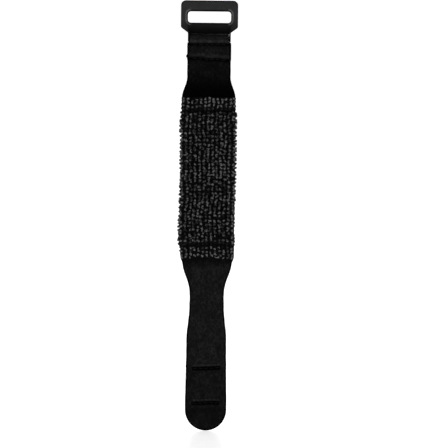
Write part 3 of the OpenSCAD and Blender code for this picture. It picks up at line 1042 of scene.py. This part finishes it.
def hook_tape(name, spans, node, material, seed):
    """A strip of hook tape: one or two stretches of woven ground with hooks on them."""
    rng = np.random.default_rng(seed)
    parts = []
    for high, low in spans:
        rows = max(3, int((high - low) / 0.4))
        z = np.linspace(high, low, rows)[:, None]
        x = np.sin(np.linspace(-1, 1, TAPE_ACROSS) * math.pi / 2)[None] * HOOK_HIGH[0]
        inside = np.clip((HOOK_HIGH[0] - np.abs(x)) / 0.3, 0, 1)
        face = BACK_Y + 0.02 + (HOOK_GROUND - 0.02) * np.sqrt(1 - (1 - inside) ** 2)
        face = face + 0.025 * np.sin(z * 2 * math.pi / 0.8) * np.sin(x * 2 * math.pi / 0.9)
        outer = np.stack(np.broadcast_arrays(x, face, z), -1)
        inner = outer.copy()
        inner[..., 1] = BACK_Y - 0.3      # sunk in the strap
        ground = round_trip(outer, inner).reshape(-1, 3)
        quads = grid_faces(rows, 2 * TAPE_ACROSS)[:, ::-1]
        parts.append((ground, [quads], {"tip": np.full(len(ground), 0.12)}))
        parts.append(hook_field(rng, high, low))
    obj = make_mesh(name, *join_parts(parts))
    fit_piece(obj, material, [node])


def stitches(centres_x, row_z, face_y, out, rng):
    """Twisted stitches that lie in a row on a face, with their ends down in the cloth.
    out is -1 for the front face and 1 for the back."""
    t = np.linspace(-1, 1, 15)
    count = len(centres_x)
    centres = np.zeros((count, len(t), 3))
    centres[..., 0] = centres_x[:, None] + STITCH_HALF * t[None]
    tilt = rng.normal(0, 0.09, (count, 1))
    centres[..., 2] = row_z(centres[..., 0]) + tilt * STITCH_HALF * t[None]
    lift = 0.14 - 0.34 * np.abs(t) ** 4
    centres[..., 1] = face_y(centres[..., 0], centres[..., 2]) + out * lift[None]
    points, faces = tubes(centres, UP, STITCH_R * (1 - 0.25 * t**6), STITCH_CORNERS)
    turn = np.tile(np.arange(STITCH_CORNERS) * 2 * math.pi / STITCH_CORNERS, count * len(t))
    place = np.tile(np.repeat(t, STITCH_CORNERS), count)
    twist = np.cos(2 * turn - place * 9.0)
    middle = np.repeat(centres.reshape(-1, 3), STITCH_CORNERS, axis=0)
    points = middle + (points - middle) * (1 + 0.16 * twist)[:, None]
    # the crest of each ply is painted paler, a painted highlight
    return points, faces, {"tip": 0.5 + 0.5 * twist}


def thread_rows(row_name, rows, hinge, material, seed):
    """A sewn row of the CAD, baked in place if it has a hinge, or riding on the head if there is
    none. rows has the front or back of it as (half length, row z, face y, out)."""
    rng = np.random.default_rng(seed)
    parts = []
    for half, row_z, face_y, out in rows:
        count = int((2 * half) // STITCH_PITCH)
        centres = (np.arange(count) - (count - 1) / 2) * STITCH_PITCH
        parts.append(stitches(centres, row_z, face_y, out, rng))
    obj = make_mesh("stitches_" + row_name, *join_parts(parts))
    dress(obj, material)
    if hinge:
        bend_with(obj)
    else:
        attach(obj, "head")
    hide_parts("thread_" + row_name)


def straight_across(z):
    return lambda x: z + 0 * x


def build_threads(material):
    """Every sewn row of the CAD, each on the face that it holds."""
    def front_of_head(x, z):
        return FRONT_Y - head_relief(x, z)

    def back_of_flap(x, z):
        return BACK_Y + PLY + FLAP_SHARE * head_relief(x, z)

    def plain_back(x, z):
        return BACK_Y + flat(x, z)

    def front_of_tip(x, z):
        return FRONT_Y - tip_relief(x, z)

    def across_head(row_z):
        half = HEAD_HALF_W - 1
        return [(half, row_z, front_of_head, -1), (half, row_z, back_of_flap, 1)]

    def behind_pad(node):
        half, row_z = box_mm(node)[1][0] + 0.4, straight_across(middle_z(node))
        return [(half, row_z, plain_back, 1)]

    def across_tip(row):
        return [(TIP_ROW_HALF + 0.2, tip_row_z(row), front_of_tip, -1)]

    plan = [
        ("fold_row", across_head(straight_across(PINCH_Z)), None),
        ("flap_row", across_head(slanted_seam_z), None),
        ("pad_top", behind_pad("thread_pad_top"), "hem_top_bend"),
        ("pad_bottom", behind_pad("thread_pad_bottom"), "hem_bottom_bend"),
        ("patch_top", across_tip(STITCH_ROWS_TIP[0]), "tail_fold_end"),
        ("patch_bottom", across_tip(STITCH_ROWS_TIP[1]), "tip_bend_end"),
    ]
    for k, (row_name, rows, hinge) in enumerate(plan):
        thread_rows(row_name, rows, hinge, material, seed=301 + k)


# ---- studio

VIEW_CENTRE = Vector((7.7, 3.0, -21.05)) * MM
VIEW_HEIGHT = 207.6 * MM   # what the frame shows from top to bottom at the strap
VIEW_DISTANCE = 1200 * MM
VIEW_ELEVATION = math.radians(2.5)
VIEW_ROLL = math.radians(0.6)      # the strap leans by this much in the photo
SENSOR = 36
FLOOR_HALF_W, FLOOR_NEAR, FLOOR_FAR = 3000, -2500, 1500
SWEEP_R, BACKDROP_TOP = 700, 3200


def add_camera():
    data = bpy.data.cameras.new("camera")
    data.sensor_width = SENSOR
    data.lens = SENSOR * VIEW_DISTANCE / VIEW_HEIGHT
    data.clip_start, data.clip_end = 0.05, 50
    camera = add_object("camera", data)
    away = Vector((0, -math.cos(VIEW_ELEVATION), math.sin(VIEW_ELEVATION)))
    camera.location = VIEW_CENTRE + away * VIEW_DISTANCE
    level_turn = (-away).to_track_quat("-Z", "Y").to_matrix()
    roll = Matrix.Rotation(VIEW_ROLL, 3, "Z")
    camera.rotation_euler = (level_turn @ roll).to_euler()
    bpy.context.scene.camera = camera


def add_light(name, place, size, watts, aim=(0, 0, 0)):
    data = bpy.data.lights.new(name, "AREA")
    data.shape = "RECTANGLE"
    data.size, data.size_y = size
    data.energy = watts
    light = add_object(name, data)
    light.location = place
    light.rotation_euler = (Vector(aim) - Vector(place)).to_track_quat("-Z", "Y").to_euler()


def add_floor():
    """A pale floor that runs up into a backdrop in one soft curve."""
    floor_z = TIP_Z - 0.03
    rows = [(y, floor_z) for y in np.linspace(FLOOR_NEAR, FLOOR_FAR, 9)]
    for turn in np.linspace(0, math.pi / 2, 17)[1:]:
        rise = SWEEP_R * (1 - math.cos(turn))
        rows.append((FLOOR_FAR + SWEEP_R * math.sin(turn), floor_z + rise))
    rows.append((FLOOR_FAR + SWEEP_R, floor_z + BACKDROP_TOP))
    x = np.linspace(-FLOOR_HALF_W, FLOOR_HALF_W, 13)
    points = np.array([[[a, y, z] for a in x] for y, z in rows])
    i, k = np.meshgrid(np.arange(len(rows) - 1), np.arange(len(x) - 1), indexing="ij")
    a = (i * len(x) + k).reshape(-1)
    faces = np.stack([a, a + 1, a + 1 + len(x), a + len(x)], -1)
    obj = make_mesh("studio_floor", points.reshape(-1, 3), [faces])
    n = Nodes("studio_paper")
    paper = n.ramp(n.noise(0.004, 2, 0.5), [(0.3, 0.93), (0.7, 0.95)])
    obj.data.materials.append(n.finish(
        paper, Roughness=0.26, Specular_IOR_Level=0.5,
        Emission_Color=(1, 1, 1, 1), Emission_Strength=0.72,
    ))


def add_world():
    """White where the camera sees it, and a weak light for everything else."""
    world = bpy.data.worlds.new("studio")
    bpy.context.scene.world = world
    world.use_nodes = True
    tree = world.node_tree
    seen, soft = tree.nodes["Background"], tree.nodes.new("ShaderNodeBackground")
    for node, strength in ((seen, 1.0), (soft, 0.1)):
        node.inputs["Color"].default_value = (1, 1, 1, 1)
        node.inputs["Strength"].default_value = strength
    path = tree.nodes.new("ShaderNodeLightPath")
    mix = tree.nodes.new("ShaderNodeMixShader")
    tree.links.new(path.outputs["Is Camera Ray"], mix.inputs[0])
    tree.links.new(soft.outputs[0], mix.inputs[1])
    tree.links.new(seen.outputs[0], mix.inputs[2])
    tree.links.new(mix.outputs[0], tree.nodes["World Output"].inputs["Surface"])


def add_studio():
    add_world()
    add_light("low_front", (-0.1, -0.9, -0.05), (0.8, 0.1), 1.3)
    add_light("left_strip", (-0.6, -0.5, -0.02), (0.1, 0.16), 2.2, (0, 0, 0.04))
    add_light("right_strip", (0.6, -0.5, -0.02), (0.1, 0.16), 2.2, (0, 0, 0.04))
    bpy.context.scene.view_settings.view_transform = "Standard"


# ---- build


def declare_cloth():
    """The laminate as sheets, shorter links going with a neighbour: it works out each sheet's mean
    width, and nothing is done with it.
    """
    plan = [
        ("strap_under_pad_top", "pad_top_bend", "strap_under_hem_top", "stitches_pad_top"),
        ("strap_under_pad_bottom", "pad_bottom_bend", "stitches_pad_bottom"),
        ("strap_under_hem_bottom", "hem_bottom_bend"),
        ("tail_root", "tail_bend"),
        ("tail_neck", "tail_bend_2", "tail_flare", "tail_wide"),
        ("tip_patch_b", "tip_bend", "tail_fold_a", "tail_fold_b", "tip_patch_a",
         "stitches_patch_top", "hook_tape_upper"),
    ]
    for name, hinge, *others in plan:
        h = HINGES[hinge]
        width = 2 * float(np.mean(half_width(np.linspace(h["low"], h["high"], 30))))


def build():
    fabric, terry = brushed_loop_fabric(), looped_pile()
    plastic, foam, hook, thread = satin_plastic(), open_foam(), hook_plastic(), sewing_thread()
    strap = build_strap(fabric)
    terry_piece("pile_pad_top", "pad_top_bend", ["terry_top", "terry_centre"], terry, 101)
    terry_piece("pile_hem_top", "hem_top_bend", ["hem_top"], terry, 102)
    terry_piece("pile_pad_bottom", "pad_bottom_bend", ["terry_bottom"], terry, 103)
    terry_piece("pile_hem_bottom", "hem_bottom_bend", ["hem_bottom"], terry, 104)
    foam_piece("foam_core_top", "pad_top_bend", ["foam_top", "foam_centre"], foam)
    foam_piece("foam_core_bottom", "pad_bottom_bend", ["foam_bottom"], foam)
    moulded_ring(plastic)
    cut = HINGES["tip_bend"]["low"]
    gap_low, gap_high = HOOK_GAP_Z
    hook_tape("hook_tape_upper", [(HOOK_HIGH[2], gap_high), (gap_low, cut)],
              "hook_patch_upper", hook, 201)
    hook_tape("hook_tape_lower", [(cut, HOOK_LOW[2])],
              "hook_patch_lower", hook, 202)
    build_threads(thread)
    declare_cloth()


build()
add_camera()
add_studio()
add_floor()
